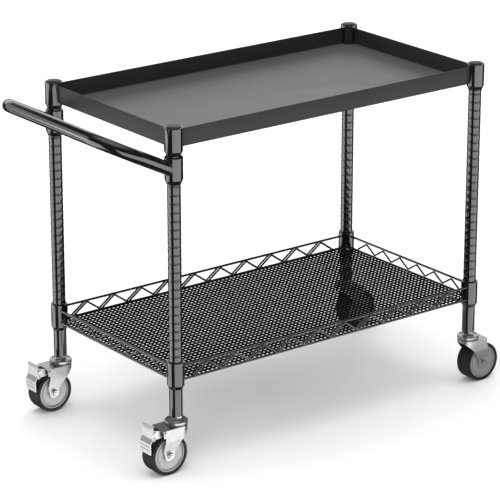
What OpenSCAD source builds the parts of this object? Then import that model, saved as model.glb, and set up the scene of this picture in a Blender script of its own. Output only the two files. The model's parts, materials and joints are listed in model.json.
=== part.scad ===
// Wire shelf cart. Four grooved round posts carry a sheet-metal tray, a wire shelf with raised
// truss sides and a U-shaped push handle. Each post stands on a swivel caster, and the two
// casters at the handle end have a foot brake.
// The origin is on the floor under the middle of the whole cart. The handle is at the -X end.

/* [Frame] */
// Distance between the post axes along the cart
post_span_x = 730; // [690:10:770]
// Distance between the post axes across the cart
post_span_y = 391; // [371:10:411]
// Outer diameter of a post
post_d = 25.4; // [25:0.1:26]
// Wall of a post tube
post_wall = 1.2; // [1:0.1:1.6]
// Height of the post's lower end above the floor
post_bottom_z = 109; // [108:0.5:112]
// Distance between the rolled grooves of a post
groove_pitch = 16.5; // [15:0.1:18]
// Depth of a rolled groove
groove_depth = 0.6; // [0.4:0.1:0.7]

/* [Tray] */
// Height of the tray's underside above the floor
tray_z = 629.3; // [620:1:660]
// Height of the tray's wall, from its underside
tray_rim_h = 34.9; // [28:0.5:38]
// Thickness of the tray's sheet
tray_sheet = 1.2; // [1:0.1:2]
// How far the long walls stand outside the post axes
tray_out_y = 1.2; // [0.5:0.1:3]
// How far the end walls stand outside the post axes
tray_out_x = 2.4; // [1:0.1:4]

/* [Handle] */
// Outer diameter of the handle tube
handle_d = 25; // [22:0.5:25]
// Distance from the post axes to the grip, along the sloping arms
handle_reach = 148; // [135:1:170]
// Slope of the arms above the level
handle_rise = 27; // [20:1:32]
// Bend radius of the tube's centre line
handle_bend_r = 70; // [55:1:80]

/* [Shelf] */
// Height of the shelf's underside above the floor
shelf_z = 177.3; // [170:1:200]
// Height of the truss sides, over both rails
truss_h = 31.3; // [28:0.5:36]
// Diameter of the truss rails
rail_d = 4.8; // [4:0.1:5]
// Diameter of the zigzag wire
snake_d = 3.9; // [3:0.1:4]
// Peaks of the zigzag on a long side
peaks_long = 10; // [8:1:12]
// Peaks of the zigzag on a short side
peaks_short = 6; // [5:1:7]
// Diameter of the deck wires
mesh_d = 3; // [2:0.1:3.2]
// Distance between neighbouring deck wires
mesh_pitch = 10.1; // [9:0.1:14]

/* [Casters] */
// Diameter of a wheel
wheel_d = 80; // [76:1:80]
// Width of a wheel
wheel_w = 35; // [32:1:35]
// Distance from the swivel axis to the axle, seen from above
trail = 27.3; // [25:0.1:29]
// Thickness of the pressed fork sheet
fork_sheet = 2.2; // [2:0.1:2.4]

/* [Hidden] */
CORNERS = ["fl", "fr", "rl", "rr"];
$fn = 64;

// Finishes
gloss_black = [0.07, 0.07, 0.075];
tray_grey = [0.2, 0.2, 0.205];
plastic_black = [0.1, 0.1, 0.1];
zinc = [0.82, 0.83, 0.85];
bright_steel = [0.72, 0.73, 0.75];
hub_grey = [0.62, 0.63, 0.64];
tyre_black = [0.05, 0.05, 0.05];

eps = 0.05;          // gap between pieces that touch
big = 2000;          // longer than anything in the cart

// Posts. The whole cart is centred over the origin, so the posts stand off-centre in X.
post_r = post_d / 2;
half_x = post_span_x / 2;
half_y = post_span_y / 2;
wheel_r = wheel_d / 2;
handle_overhang = handle_reach * cos(handle_rise) + handle_d / 2;
wheel_overhang = trail + wheel_r;
mid_x = (handle_overhang - wheel_overhang) / 2;
function side_x(c) = c[1] == "l" ? -1 : 1;
function side_y(c) = c[0] == "f" ? -1 : 1;
function has_brake(c) = c[1] == "l";

// Collars: a straight sleeve with a cone below it, round the post
collar_wall = 2;
collar_r = 17.3;
shelf_collar_r = 16.5;
cone_r = post_r + 0.5;
cone_h = 8.7;
tray_collar_z = [tray_z - 4.3, tray_z + 39.7];
handle_collar_z = [tray_z - 58.3, tray_z - 15.8];
shelf_collar_z = [shelf_z - 6.8, shelf_z + 39.7];
handle_z = tray_z - 42.3;

post_top_z = tray_collar_z[1] - 0.4;
groove_first_z = shelf_z + 19.2;
groove_w = 4;
groove_count = floor((post_top_z - 8 - groove_first_z) / groove_pitch) + 1;
function groove_z(k) = groove_first_z + k * groove_pitch;
function nearest_groove(z) = groove_z(round((z - groove_first_z) / groove_pitch));
insert_h = 30;
cap_h = 3;
cap_r = 13.6;

// Shelf
rail_r = rail_d / 2;
snake_r = snake_d / 2;
mesh_r = mesh_d / 2;
rail_out_x = 5.6;     // the rails run this far outside the post axes
rail_out_y = 5.7;
rail_low_z = shelf_z + rail_r;
rail_top_z = shelf_z + truss_h - rail_r;
truss_end_gap = 34;   // from a post axis to the zigzag's first valley
bead_r = snake_r + 0.25;
snake_side = rail_r + snake_r - 0.8;
// The cross wires end low in the side rails, and the long wires end high in the end rails
wire_shift = rail_r - mesh_r + 0.15;
cross_z = rail_low_z - wire_shift;
long_z = cross_z + 2 * mesh_r + eps;
end_rail_low_z = long_z - wire_shift;
long_count = floor((half_y + rail_out_y - rail_r - 4) / mesh_pitch);
cross_count = floor((half_x + rail_out_x - rail_r - 4) / mesh_pitch);
// How far along its line a wire must stop short of a post axis that it passes at distance off
collar_clear_r = shelf_collar_r + 1;
function collar_reach(off) =
    abs(off) - mesh_r < shelf_collar_r ? sqrt(pow(collar_clear_r, 2) - pow(max(abs(off) - mesh_r, 0), 2)) : 0;

// Casters, drawn with the swivel axis at x = y = 0 and the wheel trailing to +X
cup_r = 22;
cup_top_z = 101;
cup_bottom_z = 94;
cup_plate = 3.4;
fork_top_z = 92.1;
fork_in = wheel_w / 2 + 1.5;
fork_out = fork_in + fork_sheet;
axle_in = 15.6;        // the cheeks slope inwards to this distance, to meet the hub
axle_out = axle_in + fork_sheet;
step_z = [47.5, 68];   // bottom and top of that slope
crown_r = 18.5;
crown_top_z = 95.2;
ball_r = 2.2;
ball_ring_r = 14;
ball_z = (crown_top_z + cup_top_z - cup_plate) / 2 - 0.2;
ball_count = 16;
kingpin_r = 5;
rivet_head_r = 8;
stem_hex = 19;
fork_cut_r = 118;      // curve of the cheeks' front edge
fork_cut = [-90, -8];
fork_end_r = 11.5;
plain_back = 34;       // how far back the fork's top runs
braked_back = 43;
ear_z = 77.8;          // underside of a braked fork's ears
bolt_r = 3;
bush_r = 5;
hub_r = 9.5;
core_r = 33.3;
core_half_w = 14.5;
core_lip = 2;
tyre_edge_r = 1.5;
nut_hex = 10;
nut_h = 5.2;
nut_flange_r = 6.6;
running_gap = 0.06;

// Brake, in the same place as its caster
pivot_x = 58.5;
pivot_z = 90;
pin_r = 3;
rivet_x = 38.5;
rivet_z = 87;
rivet_r = 1.9;
pedal_half_w = 16.5;
pedal_sheet = 1.8;
bracket_half_w = 13;
bracket_sheet = 2;
bracket_end_r = 5.2;
ear_r = 6;
arm_half_w = 10;
shoe_gap = 0.35;
shoe_r = wheel_r + 3.5;
shoe_angles = [38, 54];

function arc(cx, cy, r, a0, a1, n = 8) =
    [for (i = [0:n]) let (a = a0 + (a1 - a0) * i / n) [cx + r * cos(a), cy + r * sin(a)]];
function mirror_points(p) = [for (i = [len(p) - 1:-1:0]) [p[i][0], -p[i][1]]];

module at_post(sx, sy) { translate([mid_x + sx * half_x, sy * half_y, 0]) children(); }
module at_posts() { for (sx = [-1, 1], sy = [-1, 1]) at_post(sx, sy) children(); }
module at_handle_posts() { for (sy = [-1, 1]) at_post(-1, sy) children(); }
// A caster trails away from the middle of the cart
module at_caster(c) { at_post(side_x(c), side_y(c)) mirror([side_x(c) < 0 ? 1 : 0, 0, 0]) children(); }
module at_axle() { translate([trail, 0, wheel_r]) rotate([90, 0, 0]) children(); }
module tube_ring(r_out, r_in, z0, z1) {
    rotate_extrude() translate([r_in, z0]) square([r_out - r_in, z1 - z0]);
}
module side_plate(y0, y1) { translate([0, y1, 0]) rotate([90, 0, 0]) linear_extrude(y1 - y0) children(); }

// ---- Posts ----
function groove_points(z) = [
    [post_r, z - groove_w / 2], [post_r - groove_depth, z - groove_w / 4],
    [post_r - groove_depth, z + groove_w / 4], [post_r, z + groove_w / 2]
];
module post_tube() {
    color(gloss_black) rotate_extrude() polygon(concat(
        [[post_r - post_wall, post_bottom_z], [post_r, post_bottom_z]],
        [for (k = [0:groove_count - 1]) each groove_points(groove_z(k))],
        [[post_r, post_top_z], [post_r - post_wall, post_top_z]]
    ));
}
module post_front_left() { at_post(-1, -1) post_tube(); }
module post_front_right() { at_post(1, -1) post_tube(); }
module post_rear_left() { at_post(-1, 1) post_tube(); }
module post_rear_right() { at_post(1, 1) post_tube(); }

// A plastic plug with a low domed head
module post_caps() {
    plug_r = post_r - post_wall - eps;
    color(plastic_black) at_posts() rotate_extrude() polygon(concat(
        [[0, post_top_z - 12], [plug_r, post_top_z - 12], [plug_r, post_top_z], [cap_r, post_top_z]],
        arc(cap_r - 1.6, post_top_z + cap_h - 1.8, 1.6, 0, 80),
        [[0, post_top_z + cap_h]]
    ));
}

// Steel inserts pressed into the posts' lower ends, threaded for the caster stems
module post_inserts() {
    color(bright_steel) at_posts()
        tube_ring(post_r - post_wall, kingpin_r + eps, post_bottom_z, post_bottom_z + insert_h);
}

// Two tapered half sleeves lock each collar to a groove of its post
module sleeve_pair(z, r_out) {
    ridge_z = nearest_groove((z[0] + z[1]) / 2);
    r_in = post_r + eps;
    difference() {
        rotate_extrude() polygon([
            [r_in, z[0] + 1], [r_out, z[0] + 1], [r_out, z[1] - 0.5], [r_in, z[1] - 0.5],
            [r_in, ridge_z + 0.8], [r_in - 0.4, ridge_z + 0.4],
            [r_in - 0.4, ridge_z - 0.4], [r_in, ridge_z - 0.8]
        ]);
        translate([-30, -0.4, z[0] - 1]) cube([60, 0.8, z[1] - z[0] + 2]);
    }
}
module split_sleeves() {
    color(plastic_black) {
        at_posts() sleeve_pair(tray_collar_z, collar_r - collar_wall - eps);
        at_posts() sleeve_pair(shelf_collar_z, shelf_collar_r - collar_wall - eps);
        at_handle_posts() sleeve_pair(handle_collar_z, collar_r - collar_wall - eps);
    }
}

// ---- Collars ----
module collar(z, r, cone) {
    bore = r - collar_wall;
    rotate_extrude() polygon([
        [bore, z[1]], [bore, z[0]], [post_r + 2 * eps, z[0] - cone + 1], [post_r + 2 * eps, z[0] - cone],
        [cone_r, z[0] - cone], [r, z[0]], [r, z[1] - 0.8], [r - 0.8, z[1]]
    ]);
}
module tray_collars() { color(gloss_black) at_posts() collar(tray_collar_z, collar_r, cone_h); }
module handle_collars() { color(gloss_black) at_handle_posts() collar(handle_collar_z, collar_r, cone_h); }
module shelf_collars() { color(gloss_black) at_posts() collar(shelf_collar_z, shelf_collar_r, 7); }

// ---- Tray ----
module tray() {
    out_x = half_x + tray_out_x;
    out_y = half_y + tray_out_y;
    color(tray_grey) difference() {
        translate([mid_x - out_x, -out_y, tray_z]) cube([2 * out_x, 2 * out_y, tray_rim_h]);
        translate([mid_x - out_x + tray_sheet, -out_y + tray_sheet, tray_z + tray_sheet])
            cube([2 * (out_x - tray_sheet), 2 * (out_y - tray_sheet), tray_rim_h]);
        at_posts() translate([0, 0, tray_z - 1]) cylinder(r = collar_r, h = tray_rim_h + 2);
    }
}

// ---- Push handle: one bent tube, coped on to its two collars ----
module handle_path(r) {
    straight = handle_reach - handle_bend_r;
    for (sy = [-1, 1]) {
        translate([-straight, sy * half_y, 0]) rotate([0, 90, 0]) cylinder(r = r, h = straight);
        translate([-straight, sy * (half_y - handle_bend_r), 0]) rotate([0, 0, sy > 0 ? 90 : 180])
            rotate_extrude(angle = 90) translate([handle_bend_r, 0]) circle(r = r);
    }
    translate([-handle_reach, half_y - handle_bend_r, 0]) rotate([90, 0, 0])
        cylinder(r = r, h = 2 * (half_y - handle_bend_r));
}
module handle_bar() {
    color(gloss_black) difference() {
        translate([mid_x - half_x, 0, handle_z]) rotate([0, handle_rise, 0]) difference() {
            handle_path(handle_d / 2);
            handle_path(handle_d / 2 - post_wall);
        }
        at_handle_posts() cylinder(r = collar_r, h = big);
    }
}

// ---- Wire shelf ----
module rod(p, q, r) {
    d = q - p;
    translate([p[0], 0, p[1]]) rotate([0, atan2(d[0], d[1]), 0]) cylinder(r = r, h = norm(d));
}
// A zigzag wire in the XZ plane, with a weld bead at every bend
module snake(half, peaks, low_z, high_z) {
    steps = 2 * peaks;
    p = [for (i = [0:steps]) [-half + i * half / peaks, i % 2 == 0 ? low_z : high_z]];
    for (i = [0:steps - 1]) rod(p[i], p[i + 1], snake_r);
    for (q = p) translate([q[0], 0, q[1]]) sphere(r = bead_r);
}
module truss_rails(half, low_z) {
    for (z = [low_z, rail_top_z])
        translate([-half, 0, z]) rotate([0, 90, 0]) cylinder(r = rail_r, h = 2 * half);
}
module cut_at_collars() {
    difference() {
        children();
        at_posts() translate([0, 0, shelf_z - 5]) cylinder(r = shelf_collar_r, h = truss_h + 10);
    }
}
// A long side has a zigzag on each face of its rails
module truss_long(sy) {
    color(gloss_black) cut_at_collars() translate([mid_x, sy * (half_y + rail_out_y), 0]) {
        truss_rails(half_x, rail_low_z);
        for (s = [-1, 1]) translate([0, s * snake_side, 0])
            snake(half_x - truss_end_gap, peaks_long, rail_low_z + 1.8, rail_top_z - 1);
    }
}
// A short side has one zigzag, between its rails
module truss_short(sx) {
    place = [mid_x + sx * (half_x + rail_out_x), 0, 0];
    color(gloss_black) cut_at_collars() translate(place) rotate([0, 0, 90]) {
        truss_rails(half_y, end_rail_low_z);
        snake(half_y - truss_end_gap, peaks_short,
            end_rail_low_z + rail_r + snake_r - 0.3, rail_top_z - rail_r - snake_r + 0.3);
    }
}
module shelf_truss_front() { truss_long(-1); }
module shelf_truss_rear() { truss_long(1); }
module shelf_truss_left() { truss_short(-1); }
module shelf_truss_right() { truss_short(1); }

// Wires along the cart lie on the cross wires and end inside the end rails
module deck_long_wires() {
    full = half_x + rail_out_x;
    color(gloss_black) for (i = [-long_count:long_count]) {
        y = i * mesh_pitch;
        reach = collar_reach(half_y - abs(y));
        half = reach > 0 ? half_x - reach : full;
        translate([mid_x - half, y, long_z]) rotate([0, 90, 0]) cylinder(r = mesh_r, h = 2 * half);
    }
}
// Wires across the cart end inside the side rails
module deck_cross_wires() {
    full = half_y + rail_out_y;
    color(gloss_black) for (i = [-cross_count:cross_count]) {
        x = i * mesh_pitch;
        reach = collar_reach(half_x - abs(x));
        half = reach > 0 ? half_y - reach : full;
        translate([mid_x + x, half, cross_z]) rotate([90, 0, 0]) cylinder(r = mesh_r, h = 2 * half);
    }
}

// ---- Caster parts that stay with the posts ----
// Threaded stem, hexagon and riveted kingpin in one piece
module caster_stems() {
    color(bright_steel) at_posts() {
        translate([0, 0, post_bottom_z]) cylinder(r = kingpin_r, h = insert_h - 4);
        translate([0, 0, cup_top_z])
            cylinder(r = stem_hex / 2 / cos(30), h = post_bottom_z - cup_top_z, $fn = 6);
        translate([0, 0, fork_top_z - fork_sheet - 1])
            cylinder(r = kingpin_r, h = post_bottom_z - fork_top_z + fork_sheet);
        translate([0, 0, fork_top_z - fork_sheet - 3.3]) cylinder(r = rivet_head_r, h = 3);
    }
}
module caster_cups() {
    under = cup_top_z - cup_plate;
    color(zinc) at_posts() difference() {
        rotate_extrude() polygon(concat(
            [[kingpin_r, under], [cup_r - 2.4, under], [cup_r - 2.4, cup_bottom_z], [cup_r, cup_bottom_z]],
            arc(cup_r - 1.5, cup_top_z - 1.5, 1.5, 0, 90, 5),
            [[kingpin_r, cup_top_z]]
        ));
        rotate_extrude() translate([ball_ring_r, ball_z]) circle(r = ball_r + running_gap);
    }
}

// ---- Caster parts that swivel ----
module bearing_balls() {
    color(bright_steel) for (i = [0:ball_count - 1]) rotate([0, 0, i * 360 / ball_count])
        translate([ball_ring_r, 0, ball_z]) sphere(r = ball_r);
}
// Pressed fork: a channel that is round in front, with cheeks that narrow and slope in, down to the axle
module fork_plan(r, back) {
    circle(r = r);
    translate([0, -r]) square([back, 2 * r]);
}
module fork_outline(back) {
    heel = back > plain_back ? [[trail + 11, ear_z], [back, ear_z]] : [[back, ear_z + 3]];
    difference() {
        polygon(concat(
            [[-cup_r - 2, fork_top_z], [-cup_r - 2, wheel_r - 6], [trail - 4, wheel_r - 11],
            [trail + 9, wheel_r - 7], [trail + 14.7, wheel_r + 10], [trail + 11.7, wheel_r + 27]],
            heel, [[back, fork_top_z]]
        ));
        translate(fork_cut) circle(r = fork_cut_r);
    }
    translate([trail, wheel_r]) circle(r = fork_end_r);
}
module lower_cheek() {
    rotate([90, 0, 90]) linear_extrude(60) polygon([
        [fork_out, step_z[1] + 1], [fork_out, step_z[1]], [axle_out, step_z[0]], [axle_out, 0],
        [axle_in, 0], [axle_in, step_z[0]], [fork_in, step_z[1]], [fork_in, step_z[1] + 1]
    ]);
}
module fork(back) {
    color(zinc) difference() {
        union() {
            intersection() {
                union() {
                    difference() {
                        translate([0, 0, step_z[1]])
                            linear_extrude(fork_top_z - step_z[1]) fork_plan(fork_out, 60);
                        linear_extrude(fork_top_z - fork_sheet) fork_plan(fork_in, 70);
                    }
                    lower_cheek();
                    mirror([0, 1, 0]) lower_cheek();
                }
                side_plate(-fork_out - 1, fork_out + 1) fork_outline(back);
            }
            tube_ring(crown_r, rivet_head_r, fork_top_z - 1, crown_top_z);
        }
        translate([0, 0, fork_top_z - 10]) cylinder(r = kingpin_r + running_gap, h = 20);
        rotate_extrude() translate([ball_ring_r, ball_z]) circle(r = ball_r + running_gap);
        at_axle() translate([0, 0, -40]) cylinder(r = bolt_r + 0.2, h = 80);
    }
}
module across(x, z, r, half) {
    translate([x, half, z]) rotate([90, 0, 0]) cylinder(r = r, h = 2 * half);
}
module braked_fork() {
    difference() {
        fork(braked_back);
        across(rivet_x, rivet_z, rivet_r + eps, 2 * fork_out);
    }
}
module caster_fork(c) { if (has_brake(c)) braked_fork(); else fork(plain_back); }
module axle_bolt() {
    head_h = 4;
    color(bright_steel) at_axle() {
        translate([0, 0, -axle_out - head_h]) cylinder(r = nut_hex / 2 / cos(30), h = head_h, $fn = 6);
        translate([0, 0, -axle_out - 1]) cylinder(r = bolt_r, h = 2 * axle_out + nut_h + 2.2);
    }
}
module axle_nut() {
    color(bright_steel) at_axle() translate([0, 0, axle_out]) difference() {
        union() {
            cylinder(r = nut_flange_r, h = 1.2);
            cylinder(r = nut_hex / 2 / cos(30), h = nut_h, $fn = 6);
        }
        translate([0, 0, -1]) cylinder(r = bolt_r + eps, h = nut_h + 2);
    }
}
module axle_bush() {
    color(bright_steel) at_axle() tube_ring(bush_r, bolt_r + 0.1, -axle_in, axle_in);
}

// ---- Wheel ----
module wheel_core() {
    hub_half = axle_in - 0.3;
    lip_half = wheel_w / 2 - 0.9;
    half = [
        [bush_r + running_gap, hub_half], [hub_r, hub_half], [hub_r + 0.8, core_half_w],
        [core_r - core_lip - 0.6, core_half_w], [core_r - core_lip, lip_half], [core_r, lip_half]
    ];
    color(hub_grey) at_axle() rotate_extrude() polygon(concat(half, mirror_points(half)));
}
module tyre() {
    half = arc(wheel_r - tyre_edge_r, wheel_w / 2 - tyre_edge_r, tyre_edge_r, 0, 90, 6);
    color(tyre_black) at_axle() rotate_extrude() polygon(concat(
        [[core_r, -wheel_w / 2]], mirror_points(half), half, [[core_r, wheel_w / 2]]
    ));
}

// ---- Foot brake ----
// Two plates of sheet, one on each side, at the given distance from the middle
module plate_pair(inner, sheet) {
    side_plate(inner, inner + sheet) children();
    side_plate(-inner - sheet, -inner) children();
}
// Bracket riveted between the fork's ears, with its pivot at the far end
module brake_bracket() {
    inner = bracket_half_w - bracket_sheet;
    color(zinc) {
        difference() {
            plate_pair(inner, bracket_sheet) {
                polygon([
                    [36, 80.6], [36, 89.4], [44, 89.4], [45, 92], [pivot_x, 95.2], [57, 77.5], [44, ear_z]
                ]);
                translate([pivot_x, pivot_z]) circle(r = bracket_end_r);
            }
            across(pivot_x, pivot_z, pin_r, 2 * bracket_half_w);
        }
        across(rivet_x, rivet_z, rivet_r, fork_out + 1);
        for (s = [-1, 1]) translate([0, s * (fork_out + 1), 0]) across(rivet_x, rivet_z, 3, 1);
        translate([44, -inner - 1, 86.5]) cube([8, 2 * inner + 2, bracket_sheet]);
    }
}
module pedal_pin() {
    head = 0.8;
    color(bright_steel) {
        across(pivot_x, pivot_z, pin_r, bracket_half_w + 3);
        for (s = [-1, 1]) translate([0, s * (bracket_half_w + 2.5 + head), 0])
            across(pivot_x, pivot_z, 4.2, head);
    }
}
// The spring's coils are drawn as closed rings
module brake_spring() {
    coil_pitch = 1.4;
    color(bright_steel) translate([pivot_x, 0, pivot_z]) rotate([90, 0, 0])
        for (i = [-4:4]) translate([0, 0, i * coil_pitch])
            rotate_extrude() translate([4.3, 0]) circle(r = 0.6);
}
// Foot plate, kicked out at the bottom, with ears on the pivot and two arms that hold the shoe
module pedal() {
    color(zinc) difference() {
        union() {
            side_plate(-pedal_half_w, pedal_half_w) polygon([
                [65.2, 105.4], [66.2, 103.6], [66.4, 80.8], [71.8, 71.8], [71.6, 50.6],
                [69.8, 50.6], [70, 71.2], [64.6, 80.2], [64.4, 103.2], [63.6, 104.6]
            ]);
            for (rib = [[66, 100.5], [71.5, 65.5], [71.4, 58.5]])
                across(rib[0], rib[1], 1.2, pedal_half_w - 3);
            plate_pair(bracket_half_w + 0.4, pedal_sheet) {
                polygon([[65.6, 98], [pivot_x, pivot_z + ear_r], [pivot_x, pivot_z - ear_r], [66, 82]]);
                translate([pivot_x, pivot_z]) circle(r = ear_r);
            }
            plate_pair(arm_half_w - pedal_sheet, pedal_sheet) difference() {
                polygon([[65.6, 97], [pivot_x, 96], [54, 84], [51.5, 74.5], [57.5, 69.5], [66, 84]]);
                translate([trail, wheel_r]) circle(r = shoe_r + eps);
            }
        }
        across(pivot_x, pivot_z, pin_r + running_gap, 2 * pedal_half_w);
    }
}
// Curved pad that presses on the tyre
module brake_shoe() {
    color(tyre_black) side_plate(-arm_half_w - 1, arm_half_w + 1) translate([trail, wheel_r])
        difference() {
            intersection() {
                circle(r = shoe_r);
                polygon([[0, 0], for (a = shoe_angles) 2 * wheel_r * [cos(a), sin(a)]]);
            }
            circle(r = wheel_r + shoe_gap);
        }
}

post_front_left();
post_front_right();
post_rear_left();
post_rear_right();
post_caps();
post_inserts();
split_sleeves();
tray();
tray_collars();
handle_bar();
handle_collars();
shelf_collars();
shelf_truss_front();
shelf_truss_rear();
shelf_truss_left();
shelf_truss_right();
deck_long_wires();
deck_cross_wires();
caster_stems();
caster_cups();
for (c = CORNERS) {
    at_caster(c) caster_fork(c);
    at_caster(c) bearing_balls();
    at_caster(c) axle_bolt();
    at_caster(c) axle_nut();
    at_caster(c) axle_bush();
    at_caster(c) wheel_core();
    at_caster(c) tyre();
    if (has_brake(c)) {
        at_caster(c) brake_bracket();
        at_caster(c) pedal_pin();
        at_caster(c) brake_spring();
        at_caster(c) pedal();
        at_caster(c) brake_shoe();
    }
}
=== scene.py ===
import json
import math

import bmesh
import bpy
from mathutils import Matrix, Vector


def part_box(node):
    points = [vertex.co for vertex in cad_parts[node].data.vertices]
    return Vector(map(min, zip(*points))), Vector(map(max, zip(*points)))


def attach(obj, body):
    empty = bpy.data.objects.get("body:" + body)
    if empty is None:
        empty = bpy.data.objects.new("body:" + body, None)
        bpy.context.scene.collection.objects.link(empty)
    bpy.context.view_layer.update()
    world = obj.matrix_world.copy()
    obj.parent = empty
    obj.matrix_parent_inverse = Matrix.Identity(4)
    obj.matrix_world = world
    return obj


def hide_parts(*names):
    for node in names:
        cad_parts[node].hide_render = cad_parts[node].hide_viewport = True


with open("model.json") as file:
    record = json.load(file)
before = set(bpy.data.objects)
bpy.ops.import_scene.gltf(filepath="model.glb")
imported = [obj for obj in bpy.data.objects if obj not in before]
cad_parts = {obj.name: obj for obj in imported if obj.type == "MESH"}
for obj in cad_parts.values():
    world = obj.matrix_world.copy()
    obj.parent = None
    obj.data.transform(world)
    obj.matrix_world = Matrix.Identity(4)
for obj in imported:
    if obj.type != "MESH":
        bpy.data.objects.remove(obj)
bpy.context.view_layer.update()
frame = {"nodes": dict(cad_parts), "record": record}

# Lengths in this file are metres. MM turns a size in millimetres into metres.
MM = 0.001
CORNERS = {
    "fl": "post_front_left", "fr": "post_front_right",
    "rl": "post_rear_left", "rr": "post_rear_right",
}
BRAKED = ("fl", "rl")


def middle(node):
    low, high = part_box(node)
    return (low + high) / 2


def side_x(corner):
    return -1 if corner[1] == "l" else 1


def side_y(corner):
    return -1 if corner[0] == "f" else 1


POST_AT = {corner: Vector((middle(node).x, middle(node).y, 0)) for corner, node in CORNERS.items()}
MID_X = (POST_AT["fl"].x + POST_AT["fr"].x) / 2
HALF_X = (POST_AT["fr"].x - POST_AT["fl"].x) / 2
HALF_Y = (POST_AT["rl"].y - POST_AT["fl"].y) / 2


# ---- Mesh building ----
class Shape:
    """The vertices and faces of one piece, gathered part by part."""

    def __init__(self):
        self.verts, self.faces = [], []

    def add(self, part, place=Matrix()):
        verts, faces = part
        start = len(self.verts)
        self.verts += [place @ Vector(v) for v in verts]
        self.faces += [[start + i for i in face] for face in faces]
        return self

    def build(self, name, body, slot, replaces, sharp=35, finish=None):
        mesh = bpy.data.meshes.new(name)
        bm = bmesh.new()
        points = [bm.verts.new(v) for v in self.verts]
        for face in self.faces:
            bm.faces.new([points[i] for i in face])
        bmesh.ops.recalc_face_normals(bm, faces=bm.faces)
        bm.to_mesh(mesh)
        bm.free()
        piece = bpy.data.objects.new(name, mesh)
        bpy.context.scene.collection.objects.link(piece)
        return dress(piece, body, slot, replaces, sharp, finish)


def shade(mesh, sharp):
    mesh.polygons.foreach_set("use_smooth", [True] * len(mesh.polygons))
    mesh.set_sharp_from_angle(angle=math.radians(sharp))


def dress(piece, body, slot, replaces, sharp, finish):
    """Gives a new piece its shading, finish, body and the CAD nodes that it stands for."""
    shade(piece.data, sharp)
    piece.data.materials.clear()
    piece.data.materials.append(finish or FINISHES[slot])
    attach(piece, body)
    if replaces:
        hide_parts(*replaces)
    return piece


def soften(piece, width, segments=2):
    """Rounds a piece's hard edges."""
    bevel = piece.modifiers.new("soft_edges", "BEVEL")
    bevel.width = width
    bevel.segments = segments
    bevel.limit_method = "ANGLE"
    bevel.angle_limit = math.radians(40)
    bevel.harden_normals = False
    return piece


def lathe(profile, sides=64, ring=False):
    """Turns (radius, height) points round Z. A ring's profile is closed; any other ends on the axis."""
    verts, faces, rows = [], [], []
    for radius, z in profile:
        count = 1 if radius < 1e-7 else sides
        rows.append([len(verts) + k for k in range(count)])
        for k in range(count):
            turn = 2 * math.pi * k / count
            verts.append((radius * math.cos(turn), radius * math.sin(turn), z))
    pairs = list(zip(rows, rows[1:]))
    if ring:
        pairs.append((rows[-1], rows[0]))
    for a, b in pairs:
        for k in range(sides):
            nxt = (k + 1) % sides
            corners = [a[k % len(a)], a[nxt % len(a)], b[nxt % len(b)], b[k % len(b)]]
            face = list(dict.fromkeys(corners))
            if len(face) > 2:
                faces.append(face)
    return verts, faces


def arc(center, radius, start, end, steps=6):
    """Points of a circular arc in a plane, angles in degrees."""
    turns = [math.radians(start + (end - start) * i / steps) for i in range(steps + 1)]
    return [(center[0] + radius * math.cos(t), center[1] + radius * math.sin(t)) for t in turns]


def fillet(points, radius, steps=5):
    """A polyline in space with its inner corners rounded."""
    made = [points[0]]
    for before, corner, after in zip(points, points[1:], points[2:]):
        back, ahead = (before - corner).normalized(), (after - corner).normalized()
        half = back.angle(ahead) / 2
        reach = radius / math.tan(half)
        center = corner + (back + ahead).normalized() * (radius / math.sin(half))
        first, last = corner + back * reach, corner + ahead * reach
        for i in range(steps + 1):
            spoke = (first - center).normalized().slerp((last - center).normalized(), i / steps)
            made.append(center + spoke * radius)
    return made + [points[-1]]


def sweep(path, radius, sides=16, closed=False, round_ends=False):
    """A round wire along a path, with flat or rounded ends."""
    path = [Vector(p) for p in path]
    radii = [radius] * len(path)
    if round_ends:
        first, last = (path[0] - path[1]).normalized(), (path[-1] - path[-2]).normalized()
        for share, reach in ((0.86, 0.5), (0.5, 0.86)):
            path.insert(0, path[0] + first * radius * 0.5 * reach)
            path.append(path[-1] + last * radius * 0.5 * reach)
            radii = [radius * share] + radii + [radius * share]
    count = len(path)
    normal = None
    verts, faces = [], []
    for i, point in enumerate(path):
        behind = path[i - 1] if i or closed else point
        ahead = path[(i + 1) % count] if i < count - 1 or closed else point
        along = (ahead - behind).normalized()
        if normal is None:
            normal = along.orthogonal().normalized()
        normal = (normal - along * normal.dot(along)).normalized()
        across = along.cross(normal)
        for k in range(sides):
            turn = 2 * math.pi * k / sides
            verts.append(point + (normal * math.cos(turn) + across * math.sin(turn)) * radii[i])
    for i in range(count if closed else count - 1):
        a, b = i * sides, (i + 1) % count * sides
        for k in range(sides):
            nxt = (k + 1) % sides
            faces.append([a + k, a + nxt, b + nxt, b + k])
    if not closed:
        faces += [list(range(sides)), list(range((count - 1) * sides, count * sides))]
    return verts, faces


def prism(outline, low, high):
    """An outline of (x, y) points pushed from one height to another."""
    count = len(outline)
    verts = [(x, y, z) for z in (low, high) for x, y in outline]
    sides = [[k, (k + 1) % count, count + (k + 1) % count, count + k] for k in range(count)]
    return verts, sides + [list(range(count)), list(range(count, 2 * count))]


def hexagon(across_flats, low, high):
    radius = across_flats / 2 / math.cos(math.pi / 6)
    return prism(arc((0, 0), radius, 0, 300, 5), low, high)


def ball(radius, center):
    bm = bmesh.new()
    bmesh.ops.create_icosphere(bm, subdivisions=3, radius=radius)
    verts = [v.co + Vector(center) for v in bm.verts]
    faces = [[v.index for v in face.verts] for face in bm.faces]
    bm.free()
    return verts, faces


def millimetres(points):
    return [tuple(value * MM for value in point) for point in points]


# ---- Finishes ----
# How much of the painted top light's depth comes from noise as random tone; the rest comes from how level
# the face is
TOP_LIGHT_NOISE_SHARE = 0.2


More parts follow.
